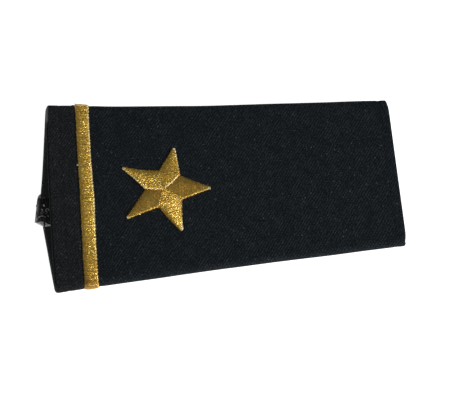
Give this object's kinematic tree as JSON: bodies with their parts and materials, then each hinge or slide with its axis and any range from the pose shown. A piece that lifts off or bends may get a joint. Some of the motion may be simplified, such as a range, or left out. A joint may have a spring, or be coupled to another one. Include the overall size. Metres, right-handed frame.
{
  "type": "shoulder board",
  "caption": "Slip-on cloth shoulder board: a tapered twill sleeve that slides onto a shoulder strap, with a raised gold stripe and a gold star embroidered on its stiff front.",
  "frame": {"origin": "on the surface that the back rests on, below the middle of the whole length and width", "axes": "+X along the board from its wide end to its narrow end, +Y across it, +Z out of its front"},
  "size_m": [0.0988, 0.0548, 0.0114],
  "materials": {
    "twill": "matt black twill with a steep diagonal rib and a few pale specks of lint",
    "seam_cloth": "black cloth edge bound with slightly shiny overlock thread",
    "interlining": "raw pale grey interlining",
    "gold_thread": "glittering metallic gold embroidery thread"
  },
  "bodies": {
    "root": {"sleeve": "twill", "seam_allowance": "seam_cloth", "interlining_edge": "interlining", "stripe": "gold_thread", "star_ray_1": "gold_thread", "star_ray_2": "gold_thread", "star_ray_3": "gold_thread", "star_ray_4": "gold_thread", "star_ray_5": "gold_thread"}
  },
  "joints": []
}
